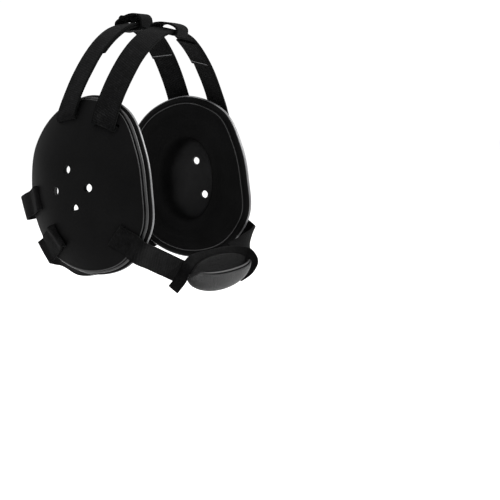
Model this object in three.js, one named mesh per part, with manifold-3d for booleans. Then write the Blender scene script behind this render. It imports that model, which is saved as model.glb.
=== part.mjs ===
// A wrestling ear guard: two domed ear cups joined by webbing over the crown, behind the head and
// under the chin, with a soft chin cup. Millimetres, +X to the wearer's left, -Y to the front, +Z up.
// The origin is the top of the head, in the middle of the crown link's underside.
import * as THREE from "three";
import { mergeVertices } from "three/addons/utils/BufferGeometryUtils.js";
import Module from "manifold-3d";

const wasm = await Module();
wasm.setup();

// Where the cups sit on the head
const earDrop = 129;
const earBack = 9;
const rimHalfGap = 94.9;
const toeAngle = 6.3;
const cantAngle = 1.4;

// Ear cup
const cupWidth = 121;
const cupHeight = 147;
const domeHeight = 23.5;
const domePower = 2.2;
const shellWall = 2.2;
const shellInset = 4.3;
const shellRimShare = 0.97;
const seatDepth = 0.2;
const rebateLap = 0.6;
const weltWidth = 7;
const weltThick = 4.2;
const weltInset = 0.9;
const padRimThick = 7;
const padLandWidth = 10;
const padLandInset = 4.6;
const padDish = 10;
const liningWall = 2.5;
const pocketWidth = 52;
const pocketHeight = 78;
const pocketForward = -5.7;
const pocketUp = -2.5;
const floorForward = 7.5;

// Vent holes
const ventDiameter = 8;
const ventSides = 12;
const ventAngles = [5, 106, 188, 284];
const ventCircle = 32;
const ventForward = 1.8;
const ventUp = -2;
const ventFlare = 0.6;
const ventFlareDepth = 11;

// Webbing
const strapWidth = 20;
const strapThick = 2;
const slotLength = 22;
const slotWidth = 5.4;
const strapLift = 2.3;
const slotFootLift = 0.8;
const slotRise = 2;
const slotBend = 5;
const upperBackClear = 10;
const lowerBackClear = 3;
const backBow = 8;
const upperBackSag = 18;
const lowerBackDrop = 2;
const lowerBackSag = 10;

// Crown
const frontStrapForward = 17;
const frontStrapRise = 1.2;
const rearStrapBack = 17.5;
const rearStrapRise = 6;
const frontArchSpan = 104.8;
const frontArchDrop = 73.6;
const rearArchSpan = 102;
const rearArchDrop = 76.4;
const crownTilt = 11;
const rearTilt = -4;
const crownSag = 0.9;
const lapThick = 1.5;
const frontLapStart = 34;
const frontLapEnd = 66;
const rearLapReach = 61;
const linkWidth = 20;
const linkThick = 1.8;
const frontLoopRise = 4.6;
const rearLoopRise = 7.5;
const linkSlack = 1.6;
const linkNeckThick = 5;

// Chin
const chinDrop = 198;
const chinForward = 69;
const chinCupWidth = 80;
const chinCupDepth = 13.5;
const chinCupReach = 10;
const chinCupTilt = 12.4;
const chinCupLift = 1.2;
const chinCupEnd = 0.05;
const chinCupSkew = 13;
const chinRoll = 3.4;
const chinYaw = 5.1;
const chinPadThick = 3;
const chinCoverThick = 2.4;
const chinCoverStart = 45;
const chinEndThin = 0.45;
const chinBandWidth = 10;
const chinBandThick = 2.2;
const chinBandSpan = 108;
const chinStrapEnd = 45;

const clearance = 0.3;
const lapClear = clearance * 1.6;
const padClear = clearance * 1.9;
const coverClear = clearance * 4.5;
const around = 32;
const longStrapSteps = 58;
const lapSteps = 24;
const chinStrapSteps = 36;
const chinBandSteps = 40;
const chinArcSteps = 8;
const chinSideSteps = 14;
const rad = THREE.MathUtils.degToRad;

// Cup outline, as shares of half the width forward and half the height up
const outlineRows = [
  { forward: 0.969, up: 0.0 },
  { forward: 0.863, up: 0.409 },
  { forward: 0.587, up: 0.835 },
  { forward: 0.0, up: 1.009 },
  { forward: -0.583, up: 0.829 },
  { forward: -0.926, up: 0.439 },
  { forward: -0.988, up: 0.0 },
  { forward: -0.895, up: -0.424 },
  { forward: -0.573, up: -0.815 },
  { forward: 0.0, up: -0.991 },
  { forward: 0.613, up: -0.873 },
  { forward: 0.982, up: -0.466 },
];

// Strap slots in the right shell: place as shares of half the cup's size, heading towards the rim
const slots = {
  crownFront: { forward: 0.417, up: 0.7, heading: 84 },
  crownRear: { forward: -0.218, up: 0.775, heading: 100 },
  backUpper: { forward: -0.67, up: -0.16, heading: 200 },
  backLower: { forward: -0.29, up: -0.575, heading: 212 },
  chin: { forward: 0.655, up: -0.54, heading: -37 },
};

const colours = { shell: 0x1c1c1e, pad: 0x141415, welt: 0x3a3a3c, webbing: 0x1f1f21, leather: 0x2c2c2e };

function finish(colour, roughness) {
  return new THREE.MeshStandardMaterial({ color: colour, roughness, metalness: 0 });
}

const shellFinish = finish(colours.shell, 0.55);
const padFinish = finish(colours.pad, 0.6);
const weltFinish = finish(colours.welt, 0.4);
const webbingFinish = finish(colours.webbing, 0.85);
const leatherFinish = finish(colours.leather, 0.5);

// Closed surface through rings of equal length; a ring of one point is a pole. A folded ring runs out
// along one face and back along the other, and its two end rings are closed across
function skin(rings, { closed = false, folded = false } = {}) {
  const points = [];
  const starts = rings.map((ring) => {
    const start = points.length;
    points.push(...ring);
    return start;
  });
  const index = [];
  const last = closed ? rings.length : rings.length - 1;
  for (let i = 0; i < last; i++) {
    const j = (i + 1) % rings.length;
    const count = Math.max(rings[i].length, rings[j].length);
    for (let k = 0; k < count; k++) {
      const next = (k + 1) % count;
      const a = starts[i] + (rings[i].length > 1 ? k : 0);
      const b = starts[i] + (rings[i].length > 1 ? next : 0);
      const c = starts[j] + (rings[j].length > 1 ? next : 0);
      const d = starts[j] + (rings[j].length > 1 ? k : 0);
      if (rings[j].length > 1) index.push(a, c, d);
      if (rings[i].length > 1) index.push(a, b, c);
    }
  }
  if (folded) {
    const count = rings[0].length;
    const end = starts[rings.length - 1];
    for (let k = 0; k < count / 2 - 1; k++) {
      index.push(k + 1, k, count - 1 - k, k + 1, count - 1 - k, count - 2 - k);
      index.push(end + k, end + k + 1, end + count - 2 - k);
      index.push(end + k, end + count - 2 - k, end + count - 1 - k);
    }
  }
  const geometry = new THREE.BufferGeometry().setFromPoints(points);
  geometry.setIndex(index);
  return geometry;
}

const sectionCorners = [
  { side: -1, face: -1 },
  { side: 1, face: -1 },
  { side: 1, face: 1 },
  { side: -1, face: 1 },
];

function middleOf(ring) {
  return ring.reduce((sum, p) => sum.add(p), new THREE.Vector3()).divideScalar(ring.length);
}

function solid(geometry) {
  const merged = mergeVertices(stripped(geometry), 1e-4);
  return new wasm.Manifold(
    new wasm.Mesh({
      numProp: 3,
      vertProperties: new Float32Array(merged.attributes.position.array),
      triVerts: new Uint32Array(merged.index.array),
    }),
  );
}

function stripped(geometry) {
  const bare = geometry.clone();
  bare.deleteAttribute("normal");
  bare.deleteAttribute("uv");
  return bare;
}

function meshOf(made) {
  const { vertProperties, triVerts } = made.getMesh();
  const geometry = new THREE.BufferGeometry();
  geometry.setAttribute("position", new THREE.BufferAttribute(new Float32Array(vertProperties), 3));
  geometry.setIndex(new THREE.BufferAttribute(new Uint32Array(triVerts), 1));
  return geometry;
}

function named(name, geometry, material) {
  geometry.computeVertexNormals();
  const mesh = new THREE.Mesh(geometry, material.clone());
  mesh.name = name;
  return mesh;
}

// Cup outline: points at equal steps round the cup, in the cup's plane (x forward, y up)
const outlineCurve = new THREE.CatmullRomCurve3(
  outlineRows.map(
    (row) => new THREE.Vector3((row.forward * cupWidth) / 2, (row.up * cupHeight) / 2, 0),
  ),
  true,
  "centripetal",
);
const outline = outlineCurve.getSpacedPoints(around).slice(0, around);

function reachAt(angle) {
  let best = outline[0];
  let next = outline[1];
  for (let i = 0; i < around; i++) {
    const a = outline[i];
    const b = outline[(i + 1) % around];
    const turnA = Math.atan2(Math.sin(Math.atan2(a.y, a.x) - angle), Math.cos(Math.atan2(a.y, a.x) - angle));
    const turnB = Math.atan2(Math.sin(Math.atan2(b.y, b.x) - angle), Math.cos(Math.atan2(b.y, b.x) - angle));
    if (turnA <= 0 && turnB > 0 && turnB - turnA < 1) {
      best = a;
      next = b;
    }
  }
  const cross = best.x * next.y - best.y * next.x;
  return cross / (Math.cos(angle) * (next.y - best.y) - Math.sin(angle) * (next.x - best.x));
}

// Height of the shell's outer face over the rim line, at a place on the cup
function domeAt(forward, up) {
  const reach = reachAt(Math.atan2(up, forward)) - shellInset;
  const share = Math.min(Math.hypot(forward, up) / reach, 1);
  return domeHeight * (1 - share ** domePower);
}

function domeShare(share) {
  return domeHeight * (1 - share ** domePower);
}

function inwardOf(i) {
  const before = outline[(i + around - 1) % around];
  const after = outline[(i + 1) % around];
  return new THREE.Vector3(before.y - after.y, after.x - before.x, 0).normalize();
}

const inward = outline.map((_, i) => inwardOf(i));

function insetRing(inset, out) {
  return outline.map((p, i) => p.clone().addScaledVector(inward[i], inset).setZ(out));
}

function sharedRing(share, inset, out) {
  return insetRing(inset, out).map((p) => new THREE.Vector3(p.x * share, p.y * share, out));
}

function ovalRing(width, height, forward, up, out) {
  return outline.map((p) => {
    const angle = Math.atan2(p.y / cupHeight, p.x / cupWidth);
    return new THREE.Vector3(
      forward + (width / 2) * Math.cos(angle),
      up + (height / 2) * Math.sin(angle),
      out,
    );
  });
}

function centre(forward, up, out) {
  return [new THREE.Vector3(forward, up, out)];
}

const domeSteps = [0.2, 0.4, 0.58, 0.74, 0.87];
const seatOut = -shellWall + seatDepth;
const weltTop = seatOut - clearance;
const padTop = weltTop - weltThick - clearance;
const padFace = padTop - padRimThick;
const rebateInset = weltInset + weltWidth + clearance;

// Rolled rims in millimetres: inset from the outline, and how far out or below the seam each row lies
const shellRimRows = [
  { inset: shellInset + 0.3, out: -0.2 },
  { inset: shellInset, out: -0.9 },
  { inset: shellInset + 0.3, out: seatOut },
];
const weltRows = [
  { inset: 1.6, height: 1 },
  { inset: 0.4, height: 0.6 },
  { inset: 0, height: 0 },
  { inset: 0.4, height: -0.6 },
  { inset: 1.6, height: -1 },
];
const padRimRows = [
  { inset: 1.8, below: 0 },
  { inset: 0.5, below: 1.2 },
  { inset: 0, below: 3 },
  { inset: 1.2, below: 5 },
];

// Straight cutter along the cup's depth
function ventCutter(place, flare, outer, inner) {
  const length = outer - inner;
  const wide = ventDiameter / 2 + flare * length;
  const cone = new THREE.CylinderGeometry(ventDiameter / 2, wide, length, ventSides);
  cone.rotateX(Math.PI / 2);
  cone.translate(place.x, place.y, (outer + inner) / 2);
  return solid(cone);
}

const ventPlaces = ventAngles.map(
  (angle) =>
    new THREE.Vector3(
      ventForward + (ventCircle / 2) * Math.cos(rad(angle)),
      ventUp + (ventCircle / 2) * Math.sin(rad(angle)),
      0,
    ),
);

function slotPlace(row) {
  return new THREE.Vector3((row.forward * cupWidth) / 2, (row.up * cupHeight) / 2, 0);
}

function slotCutter(row) {
  const place = slotPlace(row);
  const cutter = new THREE.BoxGeometry(slotWidth, slotLength, domeHeight * 2);
  cutter.rotateZ(rad(row.heading));
  cutter.translate(place.x, place.y, domeHeight / 2);
  return solid(cutter);
}

function earShell() {
  const rings = [centre(0, 0, domeHeight)];
  for (const share of domeSteps) rings.push(sharedRing(share, shellInset, domeShare(share)));
  rings.push(sharedRing(shellRimShare, shellInset, domeShare(shellRimShare)));
  for (const row of shellRimRows) rings.push(insetRing(row.inset, row.out));
  rings.push(insetRing(rebateInset - rebateLap, seatOut));
  for (const share of [...domeSteps].reverse()) {
    rings.push(sharedRing(share, shellInset, domeShare(share) - shellWall));
  }
  rings.push(centre(0, 0, domeHeight - shellWall));
  let made = solid(skin(rings.reverse()));
  for (const place of ventPlaces) {
    made = made.subtract(ventCutter(place, 0, domeHeight * 2, 0));
  }
  for (const row of Object.values(slots)) {
    made = made.subtract(slotCutter(row));
  }
  return meshOf(made);
}

function edgeWelt() {
  const middle = weltTop - weltThick / 2;
  const half = weltThick / 2;
  const inner = weltInset + weltWidth;
  const rings = [insetRing(inner, weltTop)];
  for (const row of weltRows) rings.push(insetRing(weltInset + row.inset, middle + half * row.height));
  rings.push(insetRing(inner, weltTop - weltThick));
  return skin(rings.reverse(), { closed: true });
}

function earPad() {
  const under = shellWall + padClear;
  const floorOut = domeHeight - under - liningWall;
  const lipOut = padFace + padDish;
  const rings = [centre(0, 0, domeHeight - under)];
  for (const share of domeSteps) rings.push(sharedRing(share, shellInset, domeShare(share) - under));
  rings.push(insetRing(rebateInset + clearance * 2, weltTop));
  rings.push(insetRing(rebateInset, padTop));
  for (const row of padRimRows) rings.push(insetRing(row.inset, padTop - row.below));
  rings.push(insetRing(padLandInset, padFace));
  rings.push(insetRing(padLandInset + padLandWidth, padFace));
  // Ear pocket: shares of the opening's size and of the way from the lip to the floor
  const pocketRows = [
    { size: 1.1, way: -0.06 },
    { size: 1.0, way: 0.0 },
    { size: 0.95, way: 0.1 },
    { size: 0.84, way: 0.5 },
    { size: 0.72, way: 0.84 },
    { size: 0.58, way: 0.97 },
  ];
  for (const row of pocketRows) {
    rings.push(
      ovalRing(
        pocketWidth * row.size,
        pocketHeight * row.size,
        pocketForward + floorForward * row.way,
        pocketUp,
        lipOut + (floorOut - lipOut) * row.way,
      ),
    );
  }
  rings.push(centre(pocketForward + floorForward, pocketUp, floorOut));
  let made = solid(skin(rings.reverse()));
  for (const place of ventPlaces) {
    made = made.subtract(ventCutter(place, 0, domeHeight, lipOut));
    const top = domeAt(place.x, place.y) - under;
    made = made.subtract(ventCutter(place, ventFlare, top, top - ventFlareDepth));
  }
  return meshOf(made);
}

// The right cup's own frame: x forward, y up, z out
const cupFrame = new THREE.Matrix4()
  .makeBasis(
    new THREE.Vector3(-Math.sin(rad(toeAngle)), -Math.cos(rad(toeAngle)), 0),
    new THREE.Vector3(
      Math.sin(rad(cantAngle)) * Math.cos(rad(toeAngle)),
      -Math.sin(rad(cantAngle)) * Math.sin(rad(toeAngle)),
      Math.cos(rad(cantAngle)),
    ),
    new THREE.Vector3(
      -Math.cos(rad(cantAngle)) * Math.cos(rad(toeAngle)),
      Math.cos(rad(cantAngle)) * Math.sin(rad(toeAngle)),
      Math.sin(rad(cantAngle)),
    ),
  )
  .setPosition(-rimHalfGap, earBack, -earDrop);

function onCup(forward, up, out) {
  return new THREE.Vector3(forward, up, out).applyMatrix4(cupFrame);
}

function cupDirection(forward, up) {
  return new THREE.Vector3(forward, up, 0).transformDirection(cupFrame);
}

function earCup(side) {
  const cup = new THREE.Group();
  cup.applyMatrix4(cupFrame);
  cup.add(named("ear_shell_" + side, earShell(), shellFinish));
  cup.add(named("edge_welt_" + side, edgeWelt(), weltFinish));
  cup.add(named("ear_pad_" + side, earPad(), padFinish));
  return cup;
}

// Flat webbing along rows of { at, across }, with a box section, from one share of its length to another
function ribbon(rows, width, thick, steps, { from = 0, to = 1, offset = 0 } = {}) {
  const line = new THREE.CatmullRomCurve3(rows.map((row) => row.at), false, "centripetal");
  const turn = new THREE.CatmullRomCurve3(rows.map((row) => row.across), false, "centripetal");
  const rings = [];
  for (let i = 0; i <= steps; i++) {
    const t = from + ((to - from) * i) / steps;
    const along = line.getTangent(t);
    const across = turn.getPoint(t);
    across.addScaledVector(along, -across.dot(along)).normalize();
    const normal = new THREE.Vector3().crossVectors(along, across);
    const at = line.getPoint(t).addScaledVector(normal, offset);
    rings.push(
      sectionCorners.map(({ side, face }) =>
        at.clone().addScaledVector(across, (side * width) / 2).addScaledVector(normal, (face * thick) / 2),
      ),
    );
  }
  return skin([[middleOf(rings[0])], ...rings, [middleOf(rings[steps])]]);
}

// The share of a ribbon's length where it crosses a place from side to side
function shareAt(rows, x) {
  const line = new THREE.CatmullRomCurve3(rows.map((row) => row.at), false, "centripetal");
  let low = 0.2;
  let high = 0.8;
  while (high - low > 1e-4) {
    const middle = (low + high) / 2;
    if (line.getPoint(middle).x < x) low = middle;
    else high = middle;
  }
  return low;
}

// Strap place and cross direction on the shell, clear of the dome over the strap's whole width
function overDome(place, heading) {
  const cross = new THREE.Vector3(-heading.y, heading.x, 0);
  const edge = (strapWidth / 2) * 0.95;
  const one = place.clone().addScaledVector(cross, edge);
  const other = place.clone().addScaledVector(cross, -edge);
  const oneOut = domeAt(one.x, one.y);
  const otherOut = domeAt(other.x, other.y);
  const out = Math.max(domeAt(place.x, place.y), (oneOut + otherOut) / 2) + strapLift;
  const across = onCup(one.x, one.y, oneOut).sub(onCup(other.x, other.y, otherOut)).normalize();
  const highest = Math.max(oneOut, otherOut, domeAt(place.x, place.y));
  return { at: onCup(place.x, place.y, out), across, highest };
}

function slotHeading(row) {
  return new THREE.Vector3(Math.cos(rad(row.heading)), Math.sin(rad(row.heading)), 0);
}

// A strap's end in its slot
function slotFoot(row) {
  const place = slotPlace(row);
  const top = overDome(place, slotHeading(row));
  const foot = top.highest - shellWall + slotFootLift;
  return [foot, foot + slotRise].map((out) => ({ at: onCup(place.x, place.y, out), across: top.across }));
}

// The way a strap takes from its slot over the shell to the rim
function slotRows(row, past) {
  const place = slotPlace(row);
  const heading = slotHeading(row);
  const rows = slotFoot(row);
  let way = slotBend;
  while (way < cupHeight) {
    const p = place.clone().addScaledVector(heading, way);
    if (Math.hypot(p.x, p.y) > reachAt(Math.atan2(p.y, p.x)) - shellInset) break;
    rows.push(overDome(p, heading));
    way += slotBend;
  }
  const rim = place.clone().addScaledVector(heading, way + past);
  const across = rows[rows.length - 1].across;
  rows.push({ at: onCup(rim.x, rim.y, strapLift), across });
  return { rows, rim, heading };
}

function mirroredRow(row) {
  return {
    at: new THREE.Vector3(-row.at.x, row.at.y, row.at.z),
    across: new THREE.Vector3(-row.across.x, row.across.y, row.across.z),
  };
}

// A strap that is the same on both sides of the head
function bothSides(half, middle) {
  return [...half, middle, ...half.map(mirroredRow).reverse()];
}

// Across directions all point to the same edge of the strap as the wanted one
function facing(rows, wanted) {
  return rows.map((row) => ({
    at: row.at,
    across: row.across.dot(wanted) < 0 ? row.across.clone().negate() : row.across.clone(),
  }));
}

// Crown strap from the slot to the top of the head: shares of its half span and of its drop
const archRows = [
  { side: 0.955, drop: 0.887 },
  { side: 0.869, drop: 0.72 },
  { side: 0.749, drop: 0.53 },
  { side: 0.6, drop: 0.335 },
  { side: 0.42, drop: 0.166 },
  { side: 0.22, drop: 0.045 },
];

function crownArch(slot, span, height, forward, rise, tilt) {
  const across = new THREE.Vector3(0, -Math.cos(rad(tilt)), -Math.sin(rad(tilt)));
  const rows = facing(slotFoot(slot), across);
  const end = rows[rows.length - 1];
  for (const row of archRows) {
    const y = end.at.y * row.side + -forward * (1 - row.side);
    rows.push({
      at: new THREE.Vector3(-span * row.side, y, rise - height * row.drop),
      across: across.clone().lerp(end.across, row.side).normalize(),
    });
  }
  return bothSides(rows, { at: new THREE.Vector3(0, -forward, rise), across });
}

function backWay(slot, clear, drop, sag) {
  const { rows, rim, heading } = slotRows(slot, clear * 0.5);
  const across = cupDirection(-heading.y, heading.x);
  const depth = -padFace;
  const turnRows = [
    { past: clear * 0.85, out: -depth * 0.45, down: 0 },
    { past: clear * 0.55, out: -depth * 1.25, down: drop * 0.5 },
  ];
  for (const row of turnRows) {
    const p = rim.clone().addScaledVector(heading, row.past);
    rows.push({ at: onCup(p.x, p.y - row.down, row.out), across });
  }
  const last = rows[rows.length - 1].at;
  const flat = across.clone().setX(0).normalize();
  rows.push({
    at: new THREE.Vector3(last.x * 0.5, last.y + backBow * 0.7, last.z - drop - sag * 0.7),
    across: across.clone().lerp(flat, 0.6).normalize(),
  });
  return bothSides(rows, { at: new THREE.Vector3(0, last.y + backBow, last.z - drop - sag), across: flat });
}

// Profile in the middle plane (y to the rear, z up) drawn out from side to side
function drawnAcross(shape, width) {
  const geometry = new THREE.ExtrudeGeometry(shape, { depth: width, bevelEnabled: false, curveSegments: 8 });
  geometry.translate(0, 0, -width / 2);
  return geometry.applyMatrix4(
    new THREE.Matrix4().makeBasis(
      new THREE.Vector3(0, 1, 0),
      new THREE.Vector3(0, 0, 1),
      new THREE.Vector3(1, 0, 0),
    ),
  );
}

// A loop's outline: flat below, half an ellipse above
function loopShape(half, rise, below) {
  const shape = new THREE.Shape();
  shape.moveTo(-half, -below);
  shape.lineTo(half, -below);
  shape.lineTo(half, 0);
  shape.absellipse(0, 0, half, rise, 0, Math.PI);
  shape.closePath();
  return shape;
}

function crownLink() {
  const half = strapWidth / 2 + linkSlack;
  const loops = [
    { back: -frontStrapForward, up: frontStrapRise, tilt: crownTilt, rise: frontLoopRise, under: 0 },
    {
      back: rearStrapBack,
      up: rearStrapRise,
      tilt: rearTilt,
      rise: rearLoopRise,
      under: lapThick + clearance * 2,
    },
  ];
  const placed = (loop, shape, width) =>
    solid(drawnAcross(shape, width).rotateX(rad(loop.tilt)).translate(0, loop.back, loop.up));
  let made = null;
  const lows = [];
  for (const loop of loops) {
    const below = strapThick / 2 + clearance + crownSag + loop.under;
    const wall = linkThick;
    const outer = placed(loop, loopShape(half + wall, loop.rise + wall, below + wall), linkWidth);
    lows.push(loop.up - below - wall);
    made = made ? made.add(outer) : outer;
  }
  const neck = new THREE.Shape();
  neck.moveTo(-frontStrapForward, lows[0]);
  neck.lineTo(rearStrapBack, lows[1]);
  neck.lineTo(rearStrapBack, lows[1] + linkNeckThick);
  neck.lineTo(-frontStrapForward, lows[0] + linkNeckThick);
  neck.closePath();
  made = made.add(solid(drawnAcross(neck, linkWidth)));
  for (const loop of loops) {
    const below = strapThick / 2 + clearance + crownSag + loop.under;
    made = made.subtract(placed(loop, loopShape(half, loop.rise, below), linkWidth * 2));
  }
  return meshOf(made);
}

function chinPlace(side, forward, up) {
  return new THREE.Vector3(
    side,
    -chinForward - forward - side * Math.tan(rad(chinYaw)),
    -chinDrop + up + side * Math.tan(rad(chinRoll)),
  );
}

// Chin cup section at a place from side to side, from the rear rim under the chin to the front rim,
// between two layers' depths in the cup wall
function chinSection(side, from, to, near, far, seat) {
  const share = side / (chinCupWidth / 2);
  const open = Math.sqrt(Math.max(1 - share * share, 0)) * (1 - chinCupEnd) + chinCupEnd;
  const taper = chinEndThin + (1 - chinEndThin) * open;
  const points = [];
  const steps = chinArcSteps;
  const arc = (angle, thick) => {
    const past = thick * taper + seat;
    const forward = -Math.cos(angle) * ((chinCupReach / 2) * open + past);
    const up = chinCupLift * open + (Math.cos(angle) * chinCupTilt * open) / 2;
    const wide = side - (chinCupSkew * Math.sin(angle) * (1 - share)) / 2;
    return chinPlace(wide, forward, up - Math.sin(angle) * (chinCupDepth * open + past));
  };
  for (let i = 0; i < steps; i++) {
    points.push(arc(rad(from + ((to - from) * i) / (steps - 1)), near));
  }
  for (let i = steps - 1; i >= 0; i--) {
    points.push(arc(rad(from + ((to - from) * i) / (steps - 1)), far));
  }
  return points;
}

function chinShell(from, to, near, far, seat) {
  const rings = [];
  const count = chinSideSteps;
  for (let i = 0; i <= count; i++) {
    const side = (-Math.cos((i / count) * Math.PI) * chinCupWidth) / 2;
    rings.push(chinSection(side, from, to, near, far, seat));
  }
  return skin(rings, { folded: true });
}

// Chin band from its right tip over the back of the chin cup to its left tip: places from side to side as
// shares of half its span, forward and up as shares of the chin cup's width, and the lean of its upper edge
const chinBandRows = [
  { side: -0.865, forward: -0.23, up: -0.19, lean: 0.78, rise: 0.62 },
  { side: -0.83, forward: -0.182, up: -0.12, lean: 0.78, rise: 0.62 },
  { side: -0.785, forward: -0.137, up: -0.035, lean: 0.76, rise: 0.65 },
  { side: -0.71, forward: -0.119, up: 0.045, lean: 0.65, rise: 0.76 },
  { side: -0.58, forward: -0.122, up: 0.088, lean: 0.35, rise: 0.94 },
  { side: -0.4, forward: -0.128, up: 0.098, lean: 0.1, rise: 1.0 },
  { side: 0.0, forward: -0.12, up: 0.096, lean: 0.0, rise: 1.0 },
  { side: 0.37, forward: -0.108, up: 0.093, lean: 0.0, rise: 1.0 },
  { side: 0.685, forward: -0.076, up: 0.075, lean: -0.15, rise: 1.0 },
  { side: 0.87, forward: -0.025, up: 0.04, lean: -0.6, rise: 0.8 },
  { side: 0.935, forward: 0.01, up: -0.045, lean: -0.98, rise: 0.2 },
  { side: 0.92, forward: -0.025, up: -0.13, lean: -0.93, rise: -0.36 },
  { side: 0.885, forward: -0.088, up: -0.19, lean: -0.8, rise: -0.6 },
  { side: 0.86, forward: -0.134, up: -0.22, lean: -0.75, rise: -0.65 },
];

function chinBandWay() {
  return chinBandRows.map((row) => ({
    at: chinPlace((row.side * chinBandSpan) / 2, row.forward * chinCupWidth, row.up * chinCupWidth),
    across: new THREE.Vector3(0, row.lean, row.rise).normalize(),
  }));
}

// Chin straps run from the cups' slots to the ends of the chin cup
const chinStrapEnds = {
  right: { hand: -1, lean: -0.5, rise: 0.85, back: 17, low: 1, bow: 0 },
  left: { hand: 1, lean: 0.6, rise: 0.8, back: 11.5, low: -3, bow: 9 },
};

function chinStrapRows({ hand, lean, rise, back, low, bow }) {
  const { rows } = slotRows(slots.chin, 3);
  const upright = facing(rows, new THREE.Vector3(0, 0, 1));
  const end = chinPlace(hand * chinStrapEnd, -back, -low).setX(-chinStrapEnd);
  const last = upright[upright.length - 1];
  const across = new THREE.Vector3(0, lean, rise).normalize();
  for (const share of [0.35, 0.7, 1]) {
    const at = last.at.clone().lerp(end, share);
    at.y -= bow * 4 * share * (1 - share);
    upright.push({
      at,
      across: last.across.clone().lerp(across, share).normalize(),
    });
  }
  return upright;
}

const root = new THREE.Group();
root.add(earCup("right"));
const leftSide = new THREE.Group();
leftSide.scale.x = -1;
leftSide.add(earCup("left"));
root.add(leftSide);

const frontArch = crownArch(
  slots.crownFront, frontArchSpan, frontArchDrop, frontStrapForward, frontStrapRise, crownTilt,
);
const rearArch = crownArch(
  slots.crownRear, rearArchSpan, rearArchDrop, -rearStrapBack, rearStrapRise, rearTilt,
);
const longStraps = {
  crown_strap_front: frontArch,
  crown_strap_rear: rearArch,
  rear_strap_upper: backWay(slots.backUpper, upperBackClear, 0, upperBackSag),
  rear_strap_lower: backWay(slots.backLower, lowerBackClear, lowerBackDrop, lowerBackSag),
};
for (const [name, rows] of Object.entries(longStraps)) {
  root.add(named(name, ribbon(rows, strapWidth, strapThick, longStrapSteps), webbingFinish));
}

const lapOffset = strapThick / 2 + lapClear + lapThick / 2;
const laps = {
  crown_lap_front: { rows: frontArch, start: frontLapStart, end: frontLapEnd },
  crown_lap_rear: { rows: rearArch, start: -rearLapReach, end: rearLapReach },
};
for (const [name, { rows, start, end }] of Object.entries(laps)) {
  const stretch = { from: shareAt(rows, start), to: shareAt(rows, end), offset: lapOffset };
  root.add(named(name, ribbon(rows, strapWidth, lapThick, lapSteps, stretch), webbingFinish));
}
root.add(named("crown_link", crownLink(), webbingFinish));

for (const [side, end] of Object.entries(chinStrapEnds)) {
  const strap = ribbon(chinStrapRows(end), strapWidth, strapThick, chinStrapSteps);
  const group = side === "left" ? leftSide : root;
  group.add(named("chin_strap_" + side, strap, webbingFinish));
}
const band = ribbon(chinBandWay(), chinBandWidth, chinBandThick, chinBandSteps);
root.add(named("chin_band", band, webbingFinish));
root.add(named("chin_pad", chinShell(0, 180, 0, chinPadThick, 0), leatherFinish));
const coverDepth = chinPadThick + chinCoverThick;
const cover = chinShell(chinCoverStart, 180, chinPadThick, coverDepth, coverClear);
root.add(named("chin_cover", cover, leatherFinish));

export default root;
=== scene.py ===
import math

import bmesh
import bpy
from mathutils import Matrix, Vector


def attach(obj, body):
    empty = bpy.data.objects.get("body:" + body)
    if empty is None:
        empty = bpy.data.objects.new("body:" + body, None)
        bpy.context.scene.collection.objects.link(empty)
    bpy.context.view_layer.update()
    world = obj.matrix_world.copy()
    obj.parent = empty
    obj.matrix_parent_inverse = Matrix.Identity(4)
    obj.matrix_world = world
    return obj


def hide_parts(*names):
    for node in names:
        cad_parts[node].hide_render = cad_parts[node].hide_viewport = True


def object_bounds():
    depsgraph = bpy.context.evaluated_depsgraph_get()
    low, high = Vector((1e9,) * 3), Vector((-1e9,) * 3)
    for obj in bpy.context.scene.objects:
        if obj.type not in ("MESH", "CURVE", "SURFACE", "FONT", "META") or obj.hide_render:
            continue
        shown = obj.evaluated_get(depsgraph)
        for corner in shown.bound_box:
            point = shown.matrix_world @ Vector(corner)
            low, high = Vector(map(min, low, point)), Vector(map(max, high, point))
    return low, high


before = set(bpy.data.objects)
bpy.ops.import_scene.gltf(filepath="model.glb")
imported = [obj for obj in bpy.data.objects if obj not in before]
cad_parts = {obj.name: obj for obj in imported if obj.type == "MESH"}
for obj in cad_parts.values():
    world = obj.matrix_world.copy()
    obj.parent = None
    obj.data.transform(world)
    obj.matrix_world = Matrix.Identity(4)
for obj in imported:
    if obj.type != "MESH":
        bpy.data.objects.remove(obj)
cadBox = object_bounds()
print("frame loaded")

scene = bpy.context.scene
mm = 0.001


# shader maths: a wire is one socket, and sums on it add their Math nodes
class Wire:
    def __init__(self, tree, socket):
        self.tree = tree
        self.socket = socket

    def sum(self, operation, first, second):
        node = self.tree.nodes.new("ShaderNodeMath")
        node.operation = operation
        feed(self.tree, node.inputs[0], first)
        feed(self.tree, node.inputs[1], second)
        return Wire(self.tree, node.outputs[0])

    def __add__(self, other):
        return self.sum("ADD", self, other)

    def __radd__(self, other):
        return self.sum("ADD", other, self)

    def __sub__(self, other):
        return self.sum("SUBTRACT", self, other)

    def __mul__(self, other):
        return self.sum("MULTIPLY", self, other)

    def wave(self, length):
        turned = self * (2 * math.pi / length)
        return self.sum("SINE", turned, 0.0) * 0.5 + 0.5


def feed(tree, socket, value):
    if isinstance(value, Wire):
        tree.links.new(value.socket, socket)
    else:
        socket.default_value = value


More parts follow.
